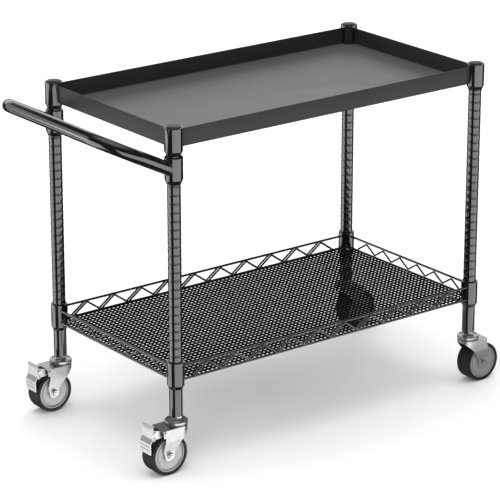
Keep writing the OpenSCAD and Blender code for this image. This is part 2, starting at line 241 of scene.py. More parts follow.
class Finish:
    """A Principled material whose colour, roughness and bump come from noise in the object's own metres."""

    def __init__(self, name, base, metallic=0.0, coat=0.0, specular=0.5):
        self.material = bpy.data.materials.new(name)
        self.material.use_nodes = True
        self.tree = self.material.node_tree
        self.shader = self.tree.nodes["Principled BSDF"]
        self.shader.inputs["Base Color"].default_value = (*base, 1)
        self.shader.inputs["Metallic"].default_value = metallic
        self.shader.inputs["Coat Weight"].default_value = coat
        self.shader.inputs["Coat Roughness"].default_value = 0.05
        self.shader.inputs["Specular IOR Level"].default_value = specular
        coordinates = self.tree.nodes.new("ShaderNodeTexCoord")
        self.where, self.facing = coordinates.outputs["Object"], coordinates.outputs["Normal"]
        self.height = None

    def node(self, kind, **settings):
        made = self.tree.nodes.new(kind)
        for key, value in settings.items():
            setattr(made, key, value)
        return made

    def link(self, source, target):
        self.tree.links.new(source, target)

    def stretched(self, stretch):
        mapping = self.node("ShaderNodeMapping")
        mapping.inputs["Scale"].default_value = stretch
        self.link(self.where, mapping.inputs["Vector"])
        return mapping.outputs["Vector"]

    def noise(self, per_metre, detail=4.0, roughness=0.55, stretch=None):
        made = self.node("ShaderNodeTexNoise")
        made.inputs["Scale"].default_value = per_metre
        made.inputs["Detail"].default_value = detail
        made.inputs["Roughness"].default_value = roughness
        self.link(self.stretched(stretch) if stretch else self.where, made.inputs["Vector"])
        return made.outputs["Fac"]

    def painted_top_light(self, source):
        """Painted light from above: 0 to 0.2 on upright faces and 0.8 to 1 on level ones that look up,
        varied by the source.
        """
        facing = self.node("ShaderNodeSeparateXYZ")
        self.link(self.facing, facing.inputs[0])
        upward = self.spread(facing.outputs[2], 0, 1 - TOP_LIGHT_NOISE_SHARE, 0.2, 0.9)
        made = self.node("ShaderNodeMath", operation="MULTIPLY_ADD")
        self.link(source, made.inputs[0])
        made.inputs[1].default_value = TOP_LIGHT_NOISE_SHARE
        self.link(upward, made.inputs[2])
        return made.outputs[0]

    def cells(self, per_metre):
        made = self.node("ShaderNodeTexVoronoi")
        made.inputs["Scale"].default_value = per_metre
        self.link(self.where, made.inputs["Vector"])
        return made.outputs["Color"]

    def spread(self, source, low, high, start=0.3, end=0.7):
        made = self.node("ShaderNodeMapRange")
        made.inputs["From Min"].default_value = start
        made.inputs["From Max"].default_value = end
        made.inputs["To Min"].default_value = low
        made.inputs["To Max"].default_value = high
        self.link(source, made.inputs["Value"])
        return made.outputs["Result"]

    def colours(self, source, low, high, start=0.3, end=0.7):
        ramp = self.node("ShaderNodeValToRGB")
        ramp.color_ramp.elements[0].position = start
        ramp.color_ramp.elements[0].color = (*low, 1)
        ramp.color_ramp.elements[1].position = end
        ramp.color_ramp.elements[1].color = (*high, 1)
        self.link(source, ramp.inputs["Fac"])
        self.link(ramp.outputs["Color"], self.shader.inputs["Base Color"])
        return self

    def rough(self, source, low, high, start=0.3, end=0.7):
        self.link(self.spread(source, low, high, start, end), self.shader.inputs["Roughness"])
        return self

    def bump(self, source, depth, strength=1.0):
        made = self.node("ShaderNodeBump")
        made.inputs["Strength"].default_value = strength
        made.inputs["Distance"].default_value = depth
        self.link(source, made.inputs["Height"])
        if self.height:
            self.link(self.height, made.inputs["Normal"])
        self.height = made.outputs["Normal"]
        self.link(self.height, self.shader.inputs["Normal"])
        return self


def frame_paint():
    """Gloss black enamel: faint orange peel and slightly uneven gloss and colour."""
    paint = Finish("frame_paint", (0.0035, 0.0035, 0.0038), coat=1.0, specular=1.0)
    paint.colours(paint.noise(90, 6), (0.003, 0.003, 0.0033), (0.006, 0.006, 0.0064))
    paint.rough(paint.noise(60, 5), 0.08, 0.14)
    paint.bump(paint.noise(420, 2), 0.04 * MM)
    paint.bump(paint.noise(55, 2), 0.15 * MM)
    return paint.material


def tray_paint():
    """Satin powder coat with a fine pebble grain; its level faces that look up are painted lighter, as
    painted light from above.
    """
    paint = Finish("tray_paint", (0.013, 0.013, 0.0133), coat=1.0, specular=0.2)
    paint.shader.inputs["Coat Roughness"].default_value = 0.4
    paint.shader.inputs["Coat IOR"].default_value = 1.25
    # Painted light from above: level faces that look up get a much lighter colour than upright ones, with a
    # little random tone from noise.
    paint.colours(paint.painted_top_light(paint.noise(12, 6)), (0.009, 0.009, 0.0092), (0.075, 0.075, 0.076), 0, 1)
    paint.rough(paint.noise(25, 5), 0.42, 0.48)
    paint.bump(paint.noise(1500, 3), 0.012 * MM)
    paint.bump(paint.noise(5, 2), 0.2 * MM)
    return paint.material


def wire_paint():
    """Semi-gloss black dip coat, a little thicker in places."""
    paint = Finish("wire_paint", (0.004, 0.004, 0.0042), coat=1.0, specular=1.0)
    paint.colours(paint.noise(120, 4), (0.003, 0.003, 0.0032), (0.006, 0.006, 0.0063))
    paint.rough(paint.noise(150, 4), 0.12, 0.22)
    paint.bump(paint.noise(380, 3), 0.06 * MM)
    return paint.material


def deck_paint():
    """The same dip coat where it is thin and dull, on the fine wires of the deck."""
    paint = Finish("deck_paint", (0.003, 0.003, 0.0032), specular=0.06)
    paint.colours(paint.noise(160, 4), (0.002, 0.002, 0.0021), (0.004, 0.004, 0.0042))
    paint.rough(paint.noise(220, 4), 0.34, 0.5)
    paint.bump(paint.noise(500, 3), 0.06 * MM)
    return paint.material


def black_plastic():
    """Moulded nylon with a fine spark-eroded grain."""
    plastic = Finish("black_plastic", (0.012, 0.012, 0.012))
    plastic.colours(plastic.noise(200, 4), (0.008, 0.008, 0.008), (0.016, 0.016, 0.016))
    plastic.rough(plastic.noise(90, 4), 0.28, 0.42)
    plastic.bump(plastic.noise(2200, 2), 0.03 * MM)
    return plastic.material


def zinc_plate():
    """Bright zinc on pressed sheet: soft blotches, faint crystals and a gentle waviness."""
    zinc = Finish("zinc_plate", (0.6, 0.605, 0.61), metallic=1.0)
    zinc.colours(zinc.noise(110, 5), (0.54, 0.545, 0.555), (0.64, 0.642, 0.645))
    zinc.rough(zinc.noise(160, 5), 0.32, 0.4)
    zinc.bump(zinc.cells(420), 0.012 * MM)
    zinc.bump(zinc.noise(70, 3), 0.05 * MM)
    return zinc.material


def bright_steel():
    """Turned and plated steel with fine tool marks."""
    steel = Finish("bright_steel", (0.7, 0.7, 0.71), metallic=1.0)
    steel.colours(steel.noise(240, 4), (0.55, 0.56, 0.57), (0.8, 0.8, 0.81))
    steel.rough(steel.noise(300, 4), 0.14, 0.28)
    steel.bump(steel.noise(900, 2, stretch=(0.15, 1, 0.15)), 0.02 * MM)
    return steel.material


def spring_steel():
    """Drawn spring wire, slightly oiled."""
    steel = Finish("spring_steel", (0.35, 0.35, 0.36), metallic=1.0)
    steel.colours(steel.noise(500, 4), (0.24, 0.24, 0.25), (0.45, 0.45, 0.46))
    steel.rough(steel.noise(400, 4), 0.22, 0.4)
    return steel.material


def wheel_plastic():
    """Light grey wheel centre with faint flow marks. Mostly metallic, because that gives its shading."""
    plastic = Finish("wheel_plastic", (0.4, 0.4, 0.4), metallic=0.7)
    plastic.colours(plastic.noise(60, 5), (0.37, 0.372, 0.374), (0.45, 0.452, 0.454))
    plastic.rough(plastic.noise(80, 4), 0.34, 0.5)
    plastic.bump(plastic.noise(1300, 2), 0.03 * MM)
    plastic.bump(plastic.noise(90, 3, stretch=(1, 0.2, 1)), 0.12 * MM)
    return plastic.material


def tyre_rubber():
    """Solid black rubber, dull on the tread."""
    rubber = Finish("tyre_rubber", (0.008, 0.008, 0.008), specular=0.3)
    rubber.colours(rubber.noise(130, 6), (0.006, 0.006, 0.006), (0.017, 0.0168, 0.0166))
    rubber.rough(rubber.noise(70, 5), 0.42, 0.66)
    rubber.bump(rubber.noise(900, 4), 0.1 * MM)
    return rubber.material


def shoe_rubber():
    """Hard brake pad with a coarse, scuffed face."""
    rubber = Finish("shoe_rubber", (0.012, 0.012, 0.012))
    rubber.colours(rubber.noise(400, 5), (0.008, 0.008, 0.008), (0.03, 0.03, 0.029))
    rubber.rough(rubber.noise(200, 4), 0.6, 0.85)
    rubber.bump(rubber.noise(700, 4), 0.15 * MM)
    return rubber.material


FINISHES = {
    "frame_paint": frame_paint(), "tray_paint": tray_paint(), "wire_paint": wire_paint(),
    "black_plastic": black_plastic(), "zinc_plate": zinc_plate(), "bright_steel": bright_steel(),
    "spring_steel": spring_steel(), "wheel_plastic": wheel_plastic(), "tyre_rubber": tyre_rubber(),
    "shoe_rubber": shoe_rubber(),
}
DECK_PAINT = deck_paint()
SLOTS = {part["node"]: part["material_slot"] for part in frame["record"]["subparts"]}

# ---- Posts, caps and collars ----
POST_R = (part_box("post_front_left")[1].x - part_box("post_front_left")[0].x) / 2
POST_WALL = 1.2 * MM
# Heights of the collars' cones
TRAY_CONE = 8.7 * MM
SHELF_CONE = 7 * MM
SHELF_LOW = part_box("shelf_truss_front")[0].z
GROOVE_FIRST = SHELF_LOW + 19.2 * MM
GROOVE_PITCH = 16.5 * MM
GROOVE_HALF = 2.4 * MM
GROOVE_DEPTH = 0.6 * MM
GROOVE_STEPS = 4
TOP_WITHOUT_GROOVES = 6 * MM


def post_profile(low, high):
    inner, edge = POST_R - POST_WALL, 0.5 * MM
    outer = [(inner, low), (POST_R - edge, low), (POST_R, low + edge)]
    z = GROOVE_FIRST
    while z < high - TOP_WITHOUT_GROOVES:
        for i in range(-GROOVE_STEPS, GROOVE_STEPS + 1):
            share = i / GROOVE_STEPS
            dip = GROOVE_DEPTH * (1 + math.cos(math.pi * share)) / 2
            outer.append((POST_R - dip, z + GROOVE_HALF * share))
        z += GROOVE_PITCH
    return outer + [(POST_R, high), (inner, high)]


def make_posts():
    for corner, node in CORNERS.items():
        low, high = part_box(node)
        tube = lathe(post_profile(low.z, high.z), 72, ring=True)
        post = Shape().add(tube, Matrix.Translation(POST_AT[corner]))
        post.build("tube_" + node, "root", "frame_paint", [node])


def make_caps():
    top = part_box("post_caps")[1].z
    head = [(0, -15), (11.4, -15), (11.4, -3), (13.6, -3), (13.6, -1.9)] + arc((12.4, -1.9), 1.2, 20, 90, 4)
    head += [(11.3, -0.75), (10.9, -1.15), (10.4, -1.15), (10.0, -0.65), (7, -0.15), (0, 0)]
    caps = Shape()
    for corner in CORNERS:
        caps.add(lathe(millimetres(head)), Matrix.Translation(POST_AT[corner] + Vector((0, 0, top))))
    caps.build("end_caps", "root", "black_plastic", ["post_caps"], sharp=50)


def collar_profile(low, high, radius, cone):
    """A sleeve with a cone and a narrow lip below it, rounded at the top."""
    wide = low + cone
    lip = POST_R + 0.95 * MM
    bore = radius - 2 * MM
    neck = POST_R + 0.1 * MM
    top_round = 0.9 * MM
    profile = [(bore, high), (bore, wide), (neck, low + 1.2 * MM), (neck, low)]
    profile += [(lip - 0.3 * MM, low), (lip, low + 0.3 * MM)]
    profile += [(lip, low + 1.7 * MM), (lip + 0.3 * MM, low + 2.1 * MM)]
    profile += [(radius - 0.5 * MM, wide - 0.7 * MM), (radius - 0.1 * MM, wide + 0.3 * MM)]
    profile += [(radius, wide + 1.2 * MM)]
    return profile + arc((radius - top_round, high - top_round), top_round, 0, 90, 4)


def make_collars(name, node, corners, radius, cone):
    low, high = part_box(node)
    collars = Shape()
    for corner in corners:
        collars.add(lathe(collar_profile(low.z, high.z, radius, cone), 72, ring=True),
                    Matrix.Translation(POST_AT[corner]))
    collars.build(name, "root", "frame_paint", [node], sharp=50)


# ---- Tray ----
SHEET = 1.2 * MM
COLLAR_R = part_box("tray_collars")[1].x - POST_AT["fr"].x


def tray_sheet():
    low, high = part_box("tray")
    floor = low.z + SHEET
    outer_bend, inner_bend, rim = 2 * MM, 0.8 * MM, SHEET / 2
    section = arc((outer_bend, low.z + outer_bend), outer_bend, 270, 180)
    section += arc((rim, high.z - rim), rim, 180, 0)
    section += arc((SHEET + inner_bend, floor + inner_bend), inner_bend, 180, 270)
    verts, faces = [], []
    for inset, z in section:
        x, y = high.x - inset - MID_X, high.y - inset
        verts += [(MID_X + sx * x, sy * y, z) for sx, sy in ((-1, -1), (1, -1), (1, 1), (-1, 1))]
    for i in range(len(section) - 1):
        for k in range(4):
            nxt = (k + 1) % 4
            faces.append([4 * i + k, 4 * i + nxt, 4 * i + 4 + nxt, 4 * i + 4 + k])
    last = 4 * (len(section) - 1)
    return verts, faces + [[0, 1, 2, 3], [last, last + 1, last + 2, last + 3]]


def cut(piece, cutter):
    """Takes the cutter's shape out of the piece, and removes the cutter."""
    tool = piece.modifiers.new("cut", "BOOLEAN")
    tool.operation = "DIFFERENCE"
    tool.solver = "EXACT"
    tool.object = cutter
    bpy.context.view_layer.update()
    made = bpy.data.meshes.new_from_object(piece.evaluated_get(bpy.context.evaluated_depsgraph_get()))
    piece.modifiers.remove(tool)
    piece.data = made
    bpy.data.objects.remove(cutter)


def weld_seams():
    """Short upright beads where the tray's walls meet the corner collars."""
    low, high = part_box("tray")
    bead = 0.9 * MM
    seams = Shape()
    for corner, at in POST_AT.items():
        out_x = (high.x - MID_X) - HALF_X
        out_y = high.y - HALF_Y
        on_end = Vector((side_x(corner) * out_x, -side_y(corner) * math.sqrt(COLLAR_R**2 - out_x**2), 0))
        on_side = Vector((-side_x(corner) * math.sqrt(COLLAR_R**2 - out_y**2), side_y(corner) * out_y, 0))
        for foot in (on_end, on_side):
            foot = foot * ((foot.length - bead / 2) / foot.length)
            path = [at + foot + Vector((0, 0, z)) for z in (low.z + 2 * MM, high.z - 2 * MM)]
            seams.add(sweep(path, bead, 12, round_ends=True))
    return seams


def make_tray():
    low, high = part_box("tray")
    tray = Shape().add(tray_sheet()).build("sheet_tray", "root", "tray_paint", ["tray"])
    drum = [(0, low.z - MM), (COLLAR_R, low.z - MM), (COLLAR_R, high.z + MM), (0, high.z + MM)]
    drums = Shape()
    for at in POST_AT.values():
        drums.add(lathe(drum, 96), Matrix.Translation(at))
    cut(tray, drums.build("drums", "root", "tray_paint", []))
    shade(tray.data, 35)
    weld_seams().build("tray_welds", "root", "tray_paint", [])


# ---- Push handle ----
HANDLE_RISE = math.radians(27)
HANDLE_REACH = 148 * MM
HANDLE_BEND = 70 * MM
# How deep the tube's ends reach into the collars' walls
HANDLE_BITE = 0.8 * MM
HANDLE_R = POST_AT["fl"].x - HANDLE_REACH * math.cos(HANDLE_RISE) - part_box("handle_bar")[0].x
HANDLE_ALONG = Vector((-math.cos(HANDLE_RISE), 0, math.sin(HANDLE_RISE)))
HANDLE_ROOT_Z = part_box("handle_bar")[1].z - HANDLE_R - HANDLE_REACH * math.sin(HANDLE_RISE)


def on_handle(along, y):
    """A point in the handle's own sloping plane."""
    return Vector((POST_AT["fl"].x, y, HANDLE_ROOT_Z)) + HANDLE_ALONG * along


def coped(point, y, radius):
    """The point moved along the arm until it is at that radius from the post's axis."""
    sideways = min(abs(point.y - y), radius)
    target = POST_AT["fl"].x - math.sqrt(radius**2 - sideways**2)
    return point + HANDLE_ALONG * ((target - point.x) / HANDLE_ALONG.x)


def handle_tube():
    sides = 48
    straight = HANDLE_REACH - HANDLE_BEND
    bend_y = HALF_Y - HANDLE_BEND
    path = [(COLLAR_R, -HALF_Y), (straight / 2, -HALF_Y)]
    path += [(s, y - bend_y) for s, y in arc((straight, 0), HANDLE_BEND, 270, 360, 16)]
    path += [(HANDLE_REACH, 0)]
    path += [(s, y + bend_y) for s, y in arc((straight, 0), HANDLE_BEND, 0, 90, 16)]
    path += [(straight / 2, HALF_Y), (COLLAR_R, HALF_Y)]
    verts, faces = sweep([on_handle(s, y) for s, y in path], HANDLE_R, sides)
    for k in range(sides):
        verts[k] = coped(verts[k], -HALF_Y, COLLAR_R - HANDLE_BITE)
        last = len(verts) - sides + k
        verts[last] = coped(verts[last], HALF_Y, COLLAR_R - HANDLE_BITE)
    return verts, faces


def handle_weld(y):
    """The fillet of weld round an arm's root."""
    upright = HANDLE_ALONG.cross(Vector((0, 1, 0)))
    path = []
    steps = 48
    for k in range(steps):
        turn = 2 * math.pi * k / steps
        rim = (Vector((0, 1, 0)) * math.cos(turn) + upright * math.sin(turn)) * HANDLE_R
        path.append(coped(on_handle(0, y) + rim, y, COLLAR_R + 0.1 * MM))
    return sweep(path, 1.3 * MM, 10, closed=True)


def make_handle():
    handle = Shape().add(handle_tube())
    handle.add(handle_weld(-HALF_Y)).add(handle_weld(HALF_Y))
    handle.build("handle_tube", "root", "frame_paint", ["handle_bar"])


# ---- Wire shelf ----
RAIL_R = (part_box("shelf_truss_left")[1].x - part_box("shelf_truss_left")[0].x) / 2
SNAKE_R = 1.95 * MM
WIRE_COAT = 0.1 * MM
WIRE_R = (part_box("deck_long_wires")[1].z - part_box("deck_long_wires")[0].z) / 2 + WIRE_COAT
WIRE_PITCH = 10.1 * MM
TRUSS_END_GAP = 34 * MM
COLLAR_CLEARANCE = 1 * MM
SNAKE_BEND = 4.5 * MM
# How far a zigzag's valleys and peaks stop short of the rails' middles: it runs beside the rails on a
# long side, and between them on a short one
LONG_SNAKE_ENDS = (1.8 * MM, 1.0 * MM)
SHORT_SNAKE_ENDS = (4.05 * MM, 4.05 * MM)
SHELF_COLLAR_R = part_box("shelf_collars")[1].x - POST_AT["fr"].x


def snake(half, peaks, low, high, place):
    """A zigzag wire with rounded bends, from valley to valley."""
    corners = []
    for i in range(2 * peaks + 1):
        x = -half + i * half / peaks
        corners.append(Vector((x, 0, high if i % 2 else low)))
    return [place @ p for p in fillet(corners, SNAKE_BEND)]


def make_truss(name, node, along_x, peaks, faces):
    low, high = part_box(node)
    center = (low + high) / 2
    turn = Matrix.Identity(4) if along_x else Matrix.Rotation(math.pi / 2, 4, "Z")
    place = Matrix.Translation((center.x, center.y, 0)) @ turn
    half = (high.x - low.x) / 2 if along_x else (high.y - low.y) / 2
    reach = (HALF_X if along_x else HALF_Y) - TRUSS_END_GAP
    rails = (low.z + RAIL_R, high.z - RAIL_R)
    valley, peak = LONG_SNAKE_ENDS if along_x else SHORT_SNAKE_ENDS
    truss = Shape()
    for z in rails:
        truss.add(sweep([(-half, 0, z), (half, 0, z)], RAIL_R, 20), place)
    for y in faces:
        beside = place @ Matrix.Translation((0, y, 0))
        path = snake(reach, peaks, rails[0] + valley, rails[1] - peak, beside)
        truss.add(sweep(path, SNAKE_R, 14, round_ends=True))
    truss.build(name, "root", "wire_paint", [node], sharp=60)


def make_trusses():
    beside = RAIL_R + SNAKE_R - 0.8 * MM
    make_truss("front_truss", "shelf_truss_front", True, 10, (-beside, beside))
    make_truss("rear_truss", "shelf_truss_rear", True, 10, (-beside, beside))
    make_truss("left_truss", "shelf_truss_left", False, 6, (0,))
    make_truss("right_truss", "shelf_truss_right", False, 6, (0,))


def short_of_collar(offset):
    """How far before a post's axis a wire must stop, when it passes the axis at that distance."""
    near = max(abs(offset) - WIRE_R, 0)
    if near > SHELF_COLLAR_R:
        return 0
    return math.sqrt((SHELF_COLLAR_R + COLLAR_CLEARANCE) ** 2 - near**2)


def make_deck():
    """Long wires lie on the cross wires, and each is a straight length of its own."""
    low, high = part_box("deck_long_wires")
    reach, z = (high.x - low.x) / 2 - WIRE_R / 2, (low.z + high.z) / 2
    rows = round((high.y - WIRE_R) / WIRE_PITCH)
    wires = Shape()
    for i in range(-rows, rows + 1):
        y = i * WIRE_PITCH
        stop = short_of_collar(HALF_Y - abs(y))
        half = HALF_X - stop if stop else reach
        wires.add(sweep([(MID_X - half, y, z), (MID_X + half, y, z)], WIRE_R, 12, round_ends=True))
    wires.build("long_wires", "root", "wire_paint", ["deck_long_wires"], 60, DECK_PAINT)

    low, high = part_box("deck_cross_wires")
    reach, z = high.y - WIRE_R / 2, (low.z + high.z) / 2
    columns = round((high.x - MID_X - WIRE_R) / WIRE_PITCH)
    wires = Shape()
    for i in range(-columns, columns + 1):
        x = i * WIRE_PITCH
        stop = short_of_collar(HALF_X - abs(x))
        half = HALF_Y - stop if stop else reach
        wires.add(sweep([(MID_X + x, -half, z), (MID_X + x, half, z)], WIRE_R, 12, round_ends=True))
    wires.build("cross_wires", "root", "wire_paint", ["deck_cross_wires"], 60, DECK_PAINT)


# ---- Casters ----
AXLE = {corner: middle("tyre_" + corner) for corner in CORNERS}
WHEEL_R = AXLE["fl"].z
WHEEL_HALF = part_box("tyre_fl")[1].y - AXLE["fl"].y
NUT_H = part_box("axle_nut_fl")[1].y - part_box("axle_nut_fl")[0].y
AXLE_HALF = AXLE["fl"].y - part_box("axle_nut_fl")[0].y - NUT_H
HUB_HALF_AXLE = AXLE_HALF - 2.5 * MM
AXLE_HEX = 10 * MM
STEM_HEX = 19 * MM
THREAD_R = 5 * MM
THREAD_ROOT = 4.3 * MM
THREAD_PITCH = 1.25 * MM
BALL_COUNT = 16
CORE_R = 33.3 * MM


def at_axle(corner):
    """The axle's place, with Z pointing to the front of the cart."""
    return Matrix.Translation(AXLE[corner]) @ Matrix.Rotation(math.pi / 2, 4, "X")


def make_cups():
    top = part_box("caster_cups")[1].z
    section = [(5, -3.4), (12, -3.4), (19.6, -3.4), (19.6, -7), (22 - 0.4, -7), (22, -6.6)]
    section += arc((20.4, -1.6), 1.6, 0, 120, 6) + [(18.6, -1), (17.6, -1.6), (13.6, -1.6), (12.6, -1)]
    section += [(12, -0.3), (11.4, 0), (5, 0)]
    cups = Shape()
    for at in POST_AT.values():
        cups.add(lathe(millimetres(section), 64, ring=True), Matrix.Translation(at + Vector((0, 0, top))))
    cups.build("swivel_cups", "root", "zinc_plate", ["caster_cups"], sharp=50)


def make_stems():
    low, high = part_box("caster_stems")
    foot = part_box("post_front_left")[0].z
    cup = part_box("caster_cups")[1].z
    stems = Shape()
    thread = [(0, foot)]
    z = foot
    while z < high.z - 1.5 * MM:
        thread += [(THREAD_ROOT, z), (THREAD_R, z + 0.5 * MM)]
        thread += [(THREAD_R, z + 0.65 * MM), (THREAD_ROOT, z + 1.15 * MM)]
        z += THREAD_PITCH
    thread += [(3.6 * MM, high.z), (0, high.z)]
    head = [(0, low.z), (6.4 * MM, low.z), (7.6 * MM, low.z + 0.7 * MM), (8 * MM, low.z + 1.6 * MM)]
    head += [(8 * MM, low.z + 3 * MM), (5 * MM, low.z + 3 * MM), (5 * MM, cup), (0, cup)]
    for at in POST_AT.values():
        place = Matrix.Translation(at)
        stems.add(lathe(thread, 32), place)
        stems.add(lathe(head, 48), place)
        stems.add(hexagon(STEM_HEX, cup, foot), place)
    soften(stems.build("threaded_stems", "root", "bright_steel", ["caster_stems"]), 0.4 * MM)


def make_balls(corner):
    low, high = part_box("bearing_balls_" + corner)
    radius = (high.z - low.z) / 2
    ring = (high.x - low.x) / 2 - radius
    balls = Shape()
    for k in range(BALL_COUNT):
        turn = 2 * math.pi * k / BALL_COUNT
        balls.add(ball(radius, (ring * math.cos(turn), ring * math.sin(turn), (low.z + high.z) / 2)),
                  Matrix.Translation(POST_AT[corner]))
    balls.build("balls_" + corner, "swivel_" + corner, "bright_steel", ["bearing_balls_" + corner])


def make_axle(corner):
    body = "swivel_" + corner
    face = AXLE_HALF
    end = face + NUT_H + 1.2 * MM
    bolt = Shape().add(hexagon(AXLE_HEX, -face - 4 * MM, -face), at_axle(corner))
    shank = [(0, -face), (3 * MM, -face), (3 * MM, end - 0.8 * MM), (2.4 * MM, end), (0, end)]
    bolt.add(lathe(shank, 40), at_axle(corner))
    soften(bolt.build("bolt_" + corner, body, "bright_steel", ["axle_bolt_" + corner]), 0.4 * MM)
    flange = [(3.05, 0), (6.6, 0), (6.6, 0.6), (5.6, 1.2), (3.05, 1.2)]
    on_face = at_axle(corner) @ Matrix.Translation((0, 0, face))
    nut = Shape().add(lathe(millimetres(flange), 48, ring=True), on_face)
    nut.add(hexagon(AXLE_HEX, face + 1 * MM, face + NUT_H), at_axle(corner))
    soften(nut.build("nut_" + corner, body, "bright_steel", ["axle_nut_" + corner]), 0.5 * MM, 3)


def wheel_core():
    """Half of the centre's section, from the bore out to the rim's lip; the other half mirrors it."""
    lip, web = WHEEL_HALF - 0.9 * MM, 14.5 * MM
    half = [(5.06 * MM, HUB_HALF_AXLE), (8.6 * MM, HUB_HALF_AXLE), (9.3 * MM, HUB_HALF_AXLE - 0.4 * MM)]
    half += [(9.6 * MM, web), (14 * MM, web), (14.4 * MM, web - 0.5 * MM), (15.4 * MM, web - 0.5 * MM)]
    half += [(15.8 * MM, web), (25.4 * MM, web), (26 * MM, web - 1.2 * MM), (29 * MM, web - 1.2 * MM)]
    half += [(30.2 * MM, web - 0.6 * MM), (31 * MM, lip - 0.5 * MM), (31.4 * MM, lip)]
    return half + [(CORE_R - 0.4 * MM, lip), (CORE_R, lip - 0.4 * MM)]


def tyre_tread():
    """Half of the tyre's section: an almost square shoulder, and shallow lines round the tread."""
    edge = 1.6 * MM
    shoulder = arc((WHEEL_R - edge, WHEEL_HALF - edge), edge, 90, 0, 6)
    half = [(CORE_R, WHEEL_HALF - 0.7 * MM), (CORE_R + 0.7 * MM, WHEEL_HALF)] + shoulder
    for line in (11, 7, 3):
        for step, depth in ((0.7, 0), (0.3, 0.35), (-0.3, 0.35), (-0.7, 0)):
            half.append((WHEEL_R - depth * MM, (line + step) * MM))
    return half


def make_wheel(corner):
    body = "wheel_" + corner
    core = wheel_core()
    core += [(r, -z) for r, z in reversed(core)]
    Shape().add(lathe(core, 96, ring=True), at_axle(corner)).build(
        "centre_" + corner, body, "wheel_plastic", ["wheel_core_" + corner], sharp=40)
    tread = tyre_tread()
    tread += [(r, -z) for r, z in reversed(tread)]
    Shape().add(lathe(tread, 96, ring=True), at_axle(corner)).build(
        "tyre_ring_" + corner, body, "tyre_rubber", ["tyre_" + corner], sharp=40)


def make_spring(corner):
    low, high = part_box("brake_spring_" + corner)
    center, wire = (low + high) / 2, 0.6 * MM
    coil = (high.x - low.x) / 2 - wire
    turns, steps = 7, 18
    path = []
    for i in range(turns * steps + 1):
        turn = 2 * math.pi * i / steps
        y = (i / (turns * steps) - 0.5) * (high.y - low.y - 2 * wire)
        path.append(center + Vector((coil * math.cos(turn), y, coil * math.sin(turn))))
    spring = Shape().add(sweep(path, wire, 10, round_ends=True))
    spring.build("coil_spring_" + corner, "swivel_" + corner, "spring_steel", ["brake_spring_" + corner])


def finish_cad_nodes():
    """Every CAD node that stays shown gets its finish, and hard sheet edges get a small round."""
    for name, node in frame["nodes"].items():
        if node.hide_render:
            continue
        node.data.materials.clear()
        node.data.materials.append(FINISHES[SLOTS[name]])
        if name.startswith("fork"):
            soften(node, 0.9 * MM, 3)
        if name.startswith(("brake_bracket", "pedal_fl", "pedal_rl")):
            soften(node, 0.35 * MM)


def make_casters():
    make_cups()
    make_stems()
    for corner in CORNERS:
        make_balls(corner)
        make_axle(corner)
        make_wheel(corner)
    for corner in BRAKED:
        make_spring(corner)


# ---- Setting ----
CAMERA_AT = Vector((-2.9805, -3.898, 2.011))
CAMERA_AZIMUTH = math.radians(-37.37)
CAMERA_ELEVATION = math.radians(19.09)
CAMERA_LENS = 189.7
FLOOR_HALF = 12
# The dark card is painted shade under the cart, seen only in reflections.
CARD_X = (-0.25, 0.72)
CARD_HALF_Y = 0.19
# The card's near right part reaches forward from here, under the front right caster
CARD_CORNER_X = 0.37
CARD_FRONT_Y = -0.45
CARD_Z = -5 * MM
CARD_GLOW = 0.3
EVEN_LIGHT = 1.12
STUDIO_DARK = 0.04
# Heights of the two main soft boxes, as sines. The grooves' lips reflect what is above and below them.
BOX_LOW, BOX_HIGH = -0.7, 0.04
ALL_ROUND = 181


def make_camera():
    flat = math.cos(CAMERA_ELEVATION)
    rise = math.sin(CAMERA_ELEVATION)
    back = Vector((math.sin(CAMERA_AZIMUTH) * flat, -math.cos(CAMERA_AZIMUTH) * flat, rise))
    right = Vector((math.cos(CAMERA_AZIMUTH), math.sin(CAMERA_AZIMUTH), 0))
    turn = Matrix((right, back.cross(right), back)).transposed().to_4x4()
    camera = bpy.data.objects.new("camera", bpy.data.cameras.new("camera"))
    camera.data.lens = CAMERA_LENS
    camera.data.sensor_width = 36
    camera.data.clip_end = 100
    camera.matrix_world = Matrix.Translation(CAMERA_AT) @ turn
    bpy.context.scene.collection.objects.link(camera)
    bpy.context.scene.camera = camera


def staged_sheet(name, outline, z, finish):
    """A flat, level sheet that is part of the setting and not of the cart."""
    mesh = bpy.data.meshes.new(name)
    mesh.from_pydata([(x, y, z) for x, y in outline], [], [tuple(range(len(outline)))])
    mesh.materials.append(finish.material)
    sheet = bpy.data.objects.new(name, mesh)
    bpy.context.scene.collection.objects.link(sheet)
    return sheet


def make_dark_card():
    """An L-shaped card just under the floor, which only reflections see: painted shade standing in for the
    shaded floor under the cart. It darkens the right casters.
    """
    low, high = CARD_X
    outline = [(low, -CARD_HALF_Y), (CARD_CORNER_X, -CARD_HALF_Y), (CARD_CORNER_X, CARD_FRONT_Y)]
    outline += [(high, CARD_FRONT_Y), (high, CARD_HALF_Y), (low, CARD_HALF_Y)]
    finish = Finish("dark_card", (0.01, 0.01, 0.01), specular=0)
    finish.rough(finish.noise(5, 3), 0.8, 0.9)
    # The card's faint glow sets how bright the painted shade looks in reflections.
    finish.shader.inputs["Emission Color"].default_value = (1, 1, 1, 1)
    finish.shader.inputs["Emission Strength"].default_value = CARD_GLOW
    card = staged_sheet("dark_card", outline, CARD_Z, finish)
    card.visible_camera = False
    card.visible_diffuse = False
    card.visible_shadow = False


def make_floor():
    finish = Finish("floor", (0.85, 0.85, 0.85), specular=0.2)
    finish.colours(finish.noise(3, 3), (0.84, 0.84, 0.84), (0.86, 0.86, 0.86))
    finish.rough(finish.noise(5, 3), 0.7, 0.8)
    half = FLOOR_HALF
    floor = staged_sheet("floor", [(-half, -half), (half, -half), (half, half), (-half, half)], 0, finish)
    floor.visible_glossy = False


